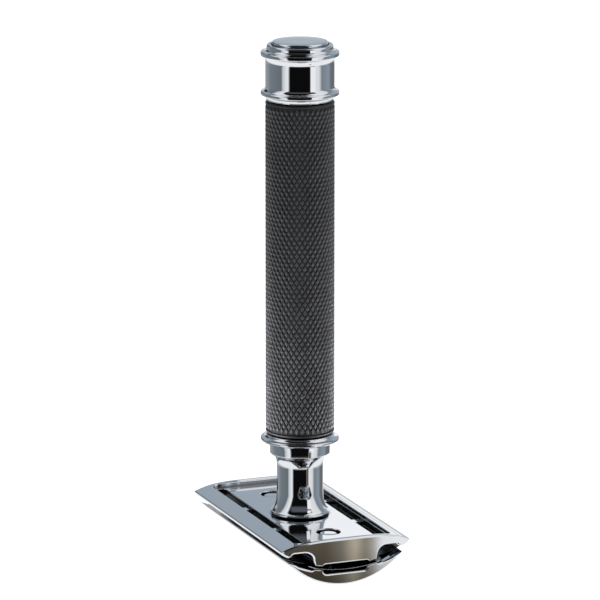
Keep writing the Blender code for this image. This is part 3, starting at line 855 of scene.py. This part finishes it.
def flat_blade():
    """The flat blade's mesh, filled between its outline and its opening."""
    curve = bpy.data.curves.new("flat_blade", "CURVE")
    curve.dimensions = "2D"
    curve.fill_mode = "BOTH"
    curve.extrude = BLADE_THICKNESS / 2
    for outline in (blade_outline(), blade_opening()):
        spline = curve.splines.new("POLY")
        spline.points.add(len(outline) - 1)
        spline.use_cyclic_u = True
        for point, (x, y) in zip(spline.points, outline):
            point.co = (x, y, 0, 1)
    flat = placed("flat_blade", curve)
    mesh = evaluated_mesh(flat)
    bpy.data.objects.remove(flat)
    return mesh


def make_blade():
    """The blade, sliced along its length, then thinned at its edges and bent."""
    shape = bmesh.new()
    shape.from_mesh(flat_blade())
    bmesh.ops.remove_doubles(shape, verts=shape.verts, dist=MERGE_DISTANCE)
    half_width = BLADE_WIDTH / 2
    grind_start = half_width - BLADE_GRIND_WIDTH
    for y in spread(-grind_start, grind_start, BLADE_BEND_SLICES):
        geometry = shape.verts[:] + shape.edges[:] + shape.faces[:]
        bmesh.ops.bisect_plane(
            shape, geom=geometry, dist=MERGE_DISTANCE, plane_co=(0, y, 0), plane_no=(0, 1, 0)
        )
    narrowing = 1 - (half_width / BLADE_BEND_RADIUS) ** 2 / 6
    for vertex in shape.verts:
        if abs(vertex.co.y) > half_width - BLADE_GRIND_WIDTH / 2:
            vertex.co.z *= BLADE_EDGE_SHARE
        vertex.co.y *= narrowing
        vertex.co.z += GUARD_Z + blade_height(vertex.co.y)
    return mesh_from(shape)


# ---- thread, stud and neck


def thread_ridge(start, turns, slack, flank_slack):
    """A helical ridge with closed ends."""
    inner = THREAD_ROOT_RADIUS - THREAD_EMBED
    outer = THREAD_CREST_RADIUS + slack
    crest = THREAD_CREST_HALF_WIDTH + flank_slack
    base = crest + (outer - inner - slack) * math.tan(THREAD_FLANK_ANGLE)
    corners = ((inner, base), (outer, crest), (outer, -crest), (inner, -base))
    rings = []
    for step in range(turns * THREAD_STEPS + 1):
        angle = TAU * step / THREAD_STEPS
        rise = GUARD_Z + start + THREAD_PITCH * step / THREAD_STEPS
        rings.append([(*polar(r, angle), rise + z) for r, z in corners])
    return lofted(rings)


def make_stud():
    """The threaded stud, from its foot in the cap's boss to its rounded end."""
    low, high = levels_of("threaded_stud")
    profile = [(0, high), (THREAD_ROOT_RADIUS, high), (THREAD_ROOT_RADIUS, low), (0, low)]
    shank = turned(profile, STUD_EDGE, steps=THREAD_STEPS)
    return cut_or_join(shank, [thread_ridge(THREAD_START, STUD_TURNS, 0, 0)], "UNION")


def make_neck():
    """The waisted neck, with a threaded bore below and the handle's spigot above."""
    foot, top = levels_of("neck")
    lip_top = levels_of("collar_ring")[0] - NECK_LIP_GAP
    swell = NECK_LIP_RADIUS - NECK_LIP_GAP
    waist_low, waist_high = NECK_WAIST_ZS
    bore = THREAD_ROOT_RADIUS + THREAD_SLACK
    countersink = THREAD_CREST_RADIUS + COUNTERSINK_MARGIN - THREAD_ROOT_RADIUS
    socket_floor = NECK_BORE_TOP + NECK_WEB
    profile = [(0, socket_floor), (SOCKET_WALL_RADIUS, socket_floor), (SOCKET_WALL_RADIUS, top)]
    profile += [(SPIGOT_RADIUS, top), (SPIGOT_RADIUS, lip_top)]
    profile += [(NECK_LIP_RADIUS, lip_top), (NECK_LIP_RADIUS, NECK_LIP_BOTTOM)]
    profile += quarter(NECK_WAIST_RADIUS, waist_high, swell, NECK_SWELL_TOP, 16)[::-1]
    profile += quarter(NECK_WAIST_RADIUS, waist_low, NECK_FOOT_RADIUS, foot + NECK_FOOT_BEAD, 20)
    profile += [(NECK_FOOT_RADIUS, foot), (bore + countersink, foot), (bore, foot + countersink)]
    profile += [(bore, NECK_BORE_TOP), (0, NECK_BORE_TOP + NECK_BORE_CONE)]
    start = THREAD_START + NECK_SKIP * THREAD_PITCH
    ridge = thread_ridge(start, NECK_TURNS, THREAD_SLACK, THREAD_FLANK_SLACK)
    return cut_or_join(turned(profile), [ridge], "DIFFERENCE")


# ---- collar, grip and knob


def make_collar():
    """The ring below the grip: a cove outside, and a flat seat round a relief below."""
    seat, top = levels_of("collar_ring")
    outer = reach_of("collar_ring")
    bore = SPIGOT_RADIUS + COLLAR_BORE_GAP
    relief = NECK_LIP_RADIUS + COLLAR_RELIEF_GAP
    relief_top = seat + COLLAR_RELIEF_DEPTH
    chamfer, rim_top, cove_foot = COLLAR_RIM_ZS
    profile = [(bore, top), (GRIP_RADIUS - COLLAR_TOP_STEP, top)]
    inner = GRIP_RADIUS - COVE_STEP
    profile += quarter(inner, top - COVE_STEP, outer - COVE_STEP, seat + cove_foot)
    profile += [(outer, seat + rim_top), (outer, seat + chamfer), (outer - chamfer, seat)]
    profile += [(relief, seat), (relief, relief_top), (bore, relief_top)]
    return turned(profile, COLLAR_EDGE, closed=True)


def make_knob():
    """The end knob: a stepped top, two flanges, a barrel between them and a spigot below."""
    low, top = levels_of("end_knob")
    bottom = levels_of("grip_sleeve")[1] + KNOB_FOOT_GAP
    recess = reach_of("end_disc") + DISC_SIDE_GAP
    floor = levels_of("end_disc")[0] - DISC_FLOOR_GAP
    step, step_edge = KNOB_STEP_RADIUS, KNOB_STEP_EDGE
    under = FLANGE_RADIUS - COVE_STEP
    root = GRIP_RADIUS - COVE_STEP
    upper_top, upper_bottom = (top - depth for depth in UPPER_FLANGE_DEPTHS)
    barrel_top, barrel_bottom = (top - depth for depth in BARREL_DEPTHS)
    lower_top, lower_bottom = (top - depth for depth in LOWER_FLANGE_DEPTHS)
    socket_top = top - KNOB_SOCKET_DEPTH
    profile = [(0, floor), (recess, floor), (recess, top)]
    profile += quarter(step, top - step_edge, step - step_edge, top, 8)[::-1]
    profile += quarter(step, top - KNOB_STEP_DEPTH, under, upper_top + COVE_STEP, 12)
    profile += [(FLANGE_RADIUS, upper_top), (FLANGE_RADIUS, upper_bottom)]
    profile += quarter(GRIP_RADIUS, barrel_top, under, upper_bottom - COVE_STEP, 14)[::-1]
    profile += quarter(GRIP_RADIUS, barrel_bottom, under, lower_top + COVE_STEP, 14)
    profile += [(FLANGE_RADIUS, lower_top), (FLANGE_RADIUS, lower_bottom)]
    profile += quarter(root, bottom + COVE_STEP, under, lower_bottom - COVE_STEP, 10)[::-1]
    profile += [(root, bottom), (SPIGOT_RADIUS, bottom), (SPIGOT_RADIUS, low)]
    profile += [(SOCKET_WALL_RADIUS, low), (SOCKET_WALL_RADIUS, socket_top), (0, socket_top)]
    return turned(profile)


def make_disc():
    """The flat disc in the knob's end, with a rounded edge."""
    low, top = levels_of("end_disc")
    radius = reach_of("end_disc")
    profile = [(0, top), (radius / 2, top)]
    profile += quarter(radius, top - DISC_EDGE, radius - DISC_EDGE, top, 8)[::-1]
    return turned([*profile, (radius, low), (0, low)])


def grip_point(shape, column, radius, z, wear):
    """A point of the grip at a column of the knurl, with its share of wear."""
    vertex = shape.verts.new((*polar(radius, TAU * column / KNURLS_AROUND), z))
    vertex[shape.verts.layers.float["crest"]] = wear
    return vertex


def add_knurl(shape, low, high):
    """A lattice of flat-topped diamonds from low to high; gives its lowest and highest ring."""
    rows = round((high - low) / KNURL_HEIGHT)
    valley = GRIP_RADIUS - KNURL_DEPTH
    reach = KNURL_TOP_SHARE / 2
    columns = range(KNURLS_AROUND)

    def at(column, row, radius, wear=0.0):
        return grip_point(shape, column, radius, low + (high - low) * row / rows, wear)

    def add_diamond(column, row, corners):
        """Four flanks and a small flat top over the four valley corners."""
        offsets = ((-reach, 0), (0, -reach), (reach, 0), (0, reach))
        tops = [at(column + dx, row + dy, GRIP_RADIUS, 1.0) for dx, dy in offsets]
        for k in range(4):
            shape.faces.new((corners[k], corners[(k + 1) % 4], tops[(k + 1) % 4], tops[k]))
        shape.faces.new(tops)

    whole = [[at(i, j, valley) for i in columns] for j in range(rows + 1)]
    half = [[at(i + 0.5, j + 0.5, valley) for i in columns] for j in range(rows)]
    for j in range(rows):
        for i in columns:
            left = half[j][i - 1]
            add_diamond(i, j + 0.5, (left, whole[j][i], half[j][i], whole[j + 1][i]))
            if j:
                right = whole[j][(i + 1) % KNURLS_AROUND]
                add_diamond(i + 0.5, j, (whole[j][i], half[j - 1][i], right, half[j][i]))
    for i in columns:
        following = (i + 1) % KNURLS_AROUND
        shape.faces.new((whole[0][i], whole[0][following], half[0][i]))
        shape.faces.new((whole[rows][following], whole[rows][i], half[rows - 1][i]))
    return whole[0], whole[rows]


def add_grip_end(shape, row, z, inwards):
    """A plain band from the knurl's last ring round to the bore; gives its last ring.

    inwards is 1 at the grip's lower end, and -1 at its upper end.
    """
    stations = (
        (GRIP_RADIUS, z + inwards * (GRIP_END_BAND - GRIP_END_SHOULDER)),
        (GRIP_RADIUS, z + inwards * GRIP_END_EDGE),
        (GRIP_RADIUS - GRIP_END_EDGE, z),
        (GRIP_BORE_RADIUS, z),
    )
    count = KNURLS_AROUND * GRIP_END_STEPS
    rings = []
    for radius, height in stations:
        rings.append([
            grip_point(shape, k / GRIP_END_STEPS, radius, height, GRIP_END_WEAR)
            for k in range(count)
        ])
    for i in range(KNURLS_AROUND):
        start = i * GRIP_END_STEPS
        arc = [rings[0][(start + k) % count] for k in range(GRIP_END_STEPS + 1)]
        shape.faces.new([row[i], *arc, row[(i + 1) % KNURLS_AROUND]])
    for outer, inner in zip(rings, rings[1:]):
        join_rings(shape, outer, inner)
    return rings[-1]


def make_grip():
    """A tube whose outside is knurled between plain end bands."""
    low, high = GRIP_LOW.z, GRIP_HIGH.z
    shape = bmesh.new()
    shape.verts.layers.float.new("crest")
    lowest, highest = add_knurl(shape, low + GRIP_END_BAND, high - GRIP_END_BAND)
    bore_low = add_grip_end(shape, lowest, low, 1)
    bore_high = add_grip_end(shape, highest, high, -1)
    join_rings(shape, bore_low, bore_high)
    return mesh_from(shape)


# ---- studio


def direction_to(azimuth, distance=1):
    """The (x, y) of a point at degrees from the camera towards the picture's right."""
    along_y, along_x = polar(distance, math.radians(VIEW_AZIMUTH + azimuth))
    return along_x, -along_y


def grey(value, blue=0.0):
    """A neutral tone, or one that leans to blue."""
    return (value * (1 - blue), value, value * (1 + blue))


# Walls round the horizon, in degrees from the camera towards the picture's right.
WALL_TONES = (
    (-180, grey(1.0)),
    (-168, grey(0.80)),
    (-160, grey(0.42, 0.06)),
    (-136, grey(0.32, 0.08)),
    (-107, grey(0.21, 0.12)),
    (-62, grey(0.17, 0.14)),
    (-57, grey(0.60, 0.06)),
    (-47, grey(0.82, 0.03)),
    (-39, grey(0.92, 0.02)),
    (-33, grey(0.004)),
    (32, grey(0.004)),
    (37, grey(0.85, 0.01)),
    (64, grey(0.78, 0.02)),
    (74, grey(0.24, 0.14)),
    (104, grey(0.32, 0.16)),
    (122, grey(0.16, 0.06)),
    (148, grey(0.17, 0.06)),
    (160, grey(0.85)),
    (180, grey(1.0)),
)
# The backdrop from its foot to its top.
BACKDROP_TONES = (
    (0.0, grey(1.0)),
    (0.17, grey(0.95, 0.01)),
    (0.30, grey(0.56, 0.08)),
    (0.48, grey(0.41, 0.14)),
    (1.0, grey(0.38, 0.16)),
)
GLOW_TONE = grey(0.10, 0.12)
PANEL_TONE = grey(0.03)
CEILING_TONE = grey(0.01)
RING_TONE = grey(0.88, 0.02)
TABLE_TONE = grey(0.95, 0.01)
PANEL_AZIMUTH = -147
PANEL_ELEVATION = 13
WALL_LEAN = 2.1  # how far the dark front spreads between the table's edge and the zenith
# Spans over which parts of the room fade in or out, as parts of a ray one unit long:
# a height is its part upwards, and the others its part towards the camera.
GLOW_HEIGHTS = ((0.07, 0.16), (0.40, 0.55))
GLOW_SIDES = (0.60, 0.80)
BACKDROP_HEIGHTS = (-0.1, 0.6)
BACKDROP_FOOT = (-0.08, 0.02)
BACKDROP_SIDES = (-0.85, -0.5)
PANEL_EDGE = (0.955, 0.985)
CEILING_EDGE = (0.915, 0.935)
RING_FOOT = (0.58, 0.66)
RING_FRONT = (0.05, 0.2)
RING_BACK = (-0.5, -0.4)
RING_SLANT = 0.8  # how much further forward the ring runs on the right
TABLE_FADE = (-0.42, -0.30)

# Cards, with the tones that run across or up them.
CARD_REACH = 100 * MM
BROWN_CARD_SIZE = (26 * MM, 28 * MM)
BROWN_CARD_ASIDE = 0.8 * MM
BROWN_CARD_FOOT = 0.4
RIM_CARD_SIZE = (36 * MM, 104 * MM)
RIM_CARD_ASIDE = 7 * MM
RIM_CARD_Z = 42 * MM
WHITE_CARD_SIZE = (48 * MM, 30 * MM)
WHITE_CARD_ASIDE = 26 * MM
CARD_FOOT_SPAN = (0.15, 0.42)  # the part of a card's height over which its foot brightens
BROWN_TONES = (
    (0.0, grey(0.95)),
    (0.23, grey(0.85)),
    (0.29, (0.40, 0.38, 0.34)),
    (0.35, (0.23, 0.21, 0.16)),
    (0.43, (0.50, 0.44, 0.34)),
    (0.52, (0.19, 0.175, 0.14)),
    (0.64, (0.10, 0.083, 0.06)),
    (1.0, (0.09, 0.075, 0.055)),
)
RIM_TONES = (
    (0.43, grey(0.95)),
    (0.45, grey(0.30, 0.1)),
    (0.58, grey(0.30, 0.1)),
    (0.60, grey(0.95)),
)
WHITE_TONES = ((0.0, grey(0.97, 0.02)), (1.0, grey(0.97, 0.02)))

FLOOR_TONES = (grey(0.93), grey(0.95))
FLOOR_GLOW = 0.85
# Name, degrees from the camera towards the right, distance, height, size and power in watts.
LAMPS = (
    ("left_lamp", -78, 42 * MM, 0, 25 * MM, 0.21),
    ("right_lamp", 88, 42 * MM, 0, 25 * MM, 0.2),
    ("front_lamp", 60, 400 * MM, 80 * MM, 200 * MM, 0.5),
)


def dotted(tree, ray, axis):
    """The part of a ray that lies along an axis."""
    inputs = {0: ray, 1: axis}
    return node(tree, "ShaderNodeVectorMath", inputs, operation="DOT_PRODUCT").outputs["Value"]


def between(tree, value, rise, fall):
    """1 from the end of rise to the start of fall, and 0 outside them."""
    return product(tree, mapped(tree, value, *rise, 0, 1), mapped(tree, value, *fall, 1, 0))


def walls_around(tree, front, aside, height):
    """Grey walls, two softboxes, and between them a dark front with a faint glow across it.

    The dark front spreads with height, as the softboxes lean away from each other.
    """
    lean = mapped(tree, height, TABLE_EDGE, 1, 1, WALL_LEAN)
    angle = math_node(tree, "DIVIDE", math_node(tree, "ARCTAN2", aside, front), lean)
    around = math_node(tree, "ADD", math_node(tree, "DIVIDE", angle, TAU), 0.5)
    tones = ramp(tree, around, [(degrees / 360 + 0.5, tone) for degrees, tone in WALL_TONES])
    band = between(tree, height, *GLOW_HEIGHTS)
    glow = product(tree, band, mapped(tree, front, *GLOW_SIDES, 0, 1))
    return mixed(tree, glow, tones, GLOW_TONE)


def with_backdrop(tree, walls, front, height):
    """The walls with a backdrop behind the razor, white at its foot and grey above."""
    tones = ramp(tree, mapped(tree, height, *BACKDROP_HEIGHTS, 0, 1), BACKDROP_TONES)
    above = mapped(tree, height, *BACKDROP_FOOT, 0, 1)
    behind = mapped(tree, front, *BACKDROP_SIDES, 1, 0)
    return mixed(tree, product(tree, above, behind), walls, tones)


def with_dark_panel(tree, walls, ray):
    """The walls with a round dark panel, to the left of the backdrop and a little above."""
    level, up = polar(1, math.radians(PANEL_ELEVATION))
    centre = (*direction_to(PANEL_AZIMUTH, level), up)
    inside = mapped(tree, dotted(tree, ray, centre), *PANEL_EDGE, 0, 1)
    return mixed(tree, inside, walls, PANEL_TONE)


def with_ceiling(tree, walls, front, aside, height):
    """The walls under a dark ceiling, which has a ring of light round it at the sides."""
    walls = mixed(tree, mapped(tree, height, *CEILING_EDGE, 0, 1), walls, CEILING_TONE)
    ring = between(tree, height, RING_FOOT, CEILING_EDGE)
    rightward = math_node(tree, "MAXIMUM", aside, 0)
    ahead = math_node(tree, "SUBTRACT", front, product(tree, rightward, RING_SLANT))
    not_ahead = mapped(tree, ahead, *RING_FRONT, 1, 0)
    sides = product(tree, not_ahead, mapped(tree, front, *RING_BACK, 0, 1))
    return mixed(tree, product(tree, ring, sides), walls, RING_TONE)


def make_world():
    """A light room over a white table. The chrome mirrors it, and the camera sees white."""
    world = bpy.data.worlds.new("studio")
    bpy.context.scene.world = world
    world.use_nodes = True
    tree = world.node_tree
    ray = node(tree, "ShaderNodeTexCoord").outputs["Generated"]
    front = dotted(tree, ray, (*direction_to(0), 0))
    aside = dotted(tree, ray, (*direction_to(90), 0))
    height = dotted(tree, ray, (0, 0, 1))
    room = walls_around(tree, front, aside, height)
    room = with_backdrop(tree, room, front, height)
    room = with_dark_panel(tree, room, ray)
    room = with_ceiling(tree, room, front, aside, height)
    room = mixed(tree, mapped(tree, height, *TABLE_FADE, 1, 0), room, TABLE_TONE)
    camera_ray = node(tree, "ShaderNodeLightPath").outputs["Is Camera Ray"]
    colour = mixed(tree, camera_ray, room, grey(1.0))
    tree.links.new(colour, tree.nodes["Background"].inputs["Color"])


def card_material(name, stops, rising, foot):
    """A glow that follows the card's own places across and up."""
    material, tree, shader = new_material(name)
    u = node(tree, "ShaderNodeAttribute", attribute_name="across").outputs["Fac"]
    v = node(tree, "ShaderNodeAttribute", attribute_name="up").outputs["Fac"]
    connect(tree, shader, {
        "Base Color": (0.0, 0.0, 0.0, 1.0),
        "Specular IOR Level": 0.0,
        "Emission Color": ramp(tree, v if rising else u, stops),
        "Emission Strength": mapped(tree, v, *CARD_FOOT_SPAN, foot, 1),
    })
    return material


def make_card(name, centre, facing, size, stops, rising=False, foot=1.0):
    """An upright glowing card that only shows in reflections.

    facing is the level direction from the card back to the razor. The colour stops run
    from left to right as the razor sees them, or upwards for a rising card. foot is the
    brightness near the bottom edge.
    """
    width, height = size
    shape = bmesh.new()
    left = (facing[1], -facing[0])
    across = shape.verts.layers.float.new("across")
    up = shape.verts.layers.float.new("up")
    corners = []
    for u, v in ((0, 0), (1, 0), (1, 1), (0, 1)):
        x = centre[0] + left[0] * width * (0.5 - u)
        y = centre[1] + left[1] * width * (0.5 - u)
        vertex = shape.verts.new((x, y, centre[2] + height * (v - 0.5)))
        vertex[across] = u
        vertex[up] = v
        corners.append(vertex)
    shape.faces.new(corners)
    mesh = mesh_from(shape)
    mesh.materials.append(card_material(name, stops, rising, foot))
    card = placed(name, mesh)
    card.visible_camera = False
    card.visible_diffuse = False
    card.visible_shadow = False


def make_end_cards():
    """Cards that the near end of the head mirrors: brown to its faces, white to its rims."""
    towards = direction_to(0)
    # A ray from the camera leaves an end face with its X turned round.
    out = (towards[0], -towards[1])
    left = (-out[1], out[0])
    facing = (-out[0], -out[1])

    def beyond_end(aside, z):
        x = PLATE_HALF_LENGTH + out[0] * CARD_REACH + left[0] * aside
        return (x, out[1] * CARD_REACH + left[1] * aside, z)

    fall = CARD_REACH * math.tan(math.radians(VIEW_ELEVATION))
    place = beyond_end(BROWN_CARD_ASIDE, PLATE_LOW.z - fall)
    make_card("brown_card", place, facing, BROWN_CARD_SIZE, BROWN_TONES, foot=BROWN_CARD_FOOT)
    place = beyond_end(RIM_CARD_ASIDE, RIM_CARD_Z)
    make_card("rim_card", place, facing, RIM_CARD_SIZE, RIM_TONES, rising=True)


def make_back_card():
    """A white card that the right-hand part of the guard plate mirrors."""
    towards, right = direction_to(0), direction_to(90)
    x, y = (WHITE_CARD_ASIDE * right[i] - CARD_REACH * towards[i] for i in (0, 1))
    rise = CARD_REACH * math.tan(math.radians(VIEW_ELEVATION))
    make_card("white_card", (x, y, PLATE_HIGH.z + rise), towards, WHITE_CARD_SIZE, WHITE_TONES)


def make_floor():
    """A pale table with a faint mottle, far enough below for the head to hang free."""
    shape = bmesh.new()
    bmesh.ops.create_grid(shape, x_segments=8, y_segments=8, size=TABLE_HALF_WIDTH)
    bmesh.ops.translate(shape, vec=(0, 0, -FLOOR_DROP), verts=shape.verts)
    mesh = mesh_from(shape)
    material, tree, shader = new_material("pale_table")
    mottle = noise(tree, stretched(tree), 12, 2)
    connect(tree, shader, {
        "Base Color": mixed(tree, mottle, *FLOOR_TONES),
        "Roughness": 0.8,
        "Specular IOR Level": 0.1,
        "Emission Color": (1.0, 1.0, 1.0, 1.0),
        "Emission Strength": FLOOR_GLOW,
    })
    mesh.materials.append(material)
    table = placed("table", mesh)
    table.visible_glossy = False


def make_camera():
    """A camera at the view's angle, far enough back for the whole razor."""
    low, high = cad_box
    centre = (low + high) / 2
    radius = (high - low).length / 2
    camera = bpy.data.cameras.new("camera")
    camera.lens = LENS
    camera.clip_start = 0.01
    camera.clip_end = 100
    level, up = polar(1, math.radians(VIEW_ELEVATION))
    back = Vector((*direction_to(0, level), up))
    half_angle = math.atan(camera.sensor_width / 2 / camera.lens)
    holder = placed("camera", camera)
    holder.location = centre + back * (radius / math.sin(half_angle))
    holder.rotation_euler = (-back).to_track_quat("-Z", "Y").to_euler()
    bpy.context.scene.camera = holder


def add_lamp(name, place, target, size, power):
    """A round lamp aimed at a point, which gives light but doesn't show in the chrome."""
    light = bpy.data.lights.new(name, "AREA")
    light.shape = "DISK"
    light.size = size
    light.energy = power
    lamp = placed(name, light)
    lamp.location = place
    lamp.rotation_euler = (target - lamp.location).to_track_quat("-Z", "Y").to_euler()
    lamp.visible_glossy = False
    lamp.visible_camera = False


def make_lamps():
    """Two small lamps low beside the grip, which fade up it, and one large lamp in front."""
    low, high = cad_box
    middle = (low + high) / 2
    target = Vector((middle.x, middle.y, GRIP_LOW.z))
    for name, azimuth, distance, z, size, power in LAMPS:
        add_lamp(name, (*direction_to(azimuth, distance), z), target, size, power)


def make_studio():
    """Everything round the razor: the room, cards, table, camera and lamps."""
    make_world()
    make_end_cards()
    make_back_card()
    make_floor()
    make_camera()
    make_lamps()
    bpy.context.scene.view_settings.view_transform = "Standard"


# ---- the whole scene


def make_pieces():
    """Every piece with its finish. The hidden core rod stays a CAD node and gets one too."""
    turned_chrome = chrome("turned_chrome", TURNED_GRAIN, TURNED_CREVICE)
    cap_chrome = chrome("cap_chrome", CAST_GRAIN, CAST_CREVICE)
    plate_chrome = chrome("plate_chrome", CAST_GRAIN, CAST_CREVICE, slotted=True)
    steel = brushed_steel("turned_steel", STUD_GRAIN, STUD_TONE, STUD_ROUGHNESS)
    blade_steel = brushed_steel("blade_steel", BLADE_GRAIN, BLADE_TONE, BLADE_ROUGHNESS)
    add_piece("razor_cap", make_cap(), cap_chrome, "cap")
    add_piece("razor_guard_plate", make_plate(), plate_chrome, "guard_plate")
    add_piece("razor_blade", make_blade(), blade_steel, "blade")
    add_piece("razor_stud", make_stud(), steel, "threaded_stud")
    add_piece("razor_neck", make_neck(), turned_chrome, "neck")
    add_piece("razor_collar", make_collar(), turned_chrome, "collar_ring")
    add_piece("razor_grip", make_grip(), black_grip(), "grip_sleeve")
    add_piece("razor_end_knob", make_knob(), turned_chrome, "end_knob")
    add_piece("razor_end_disc", make_disc(), turned_chrome, "end_disc")
    core = frame["nodes"]["handle_core"]
    core.data.materials.clear()
    core.data.materials.append(steel)


make_pieces()
make_studio()
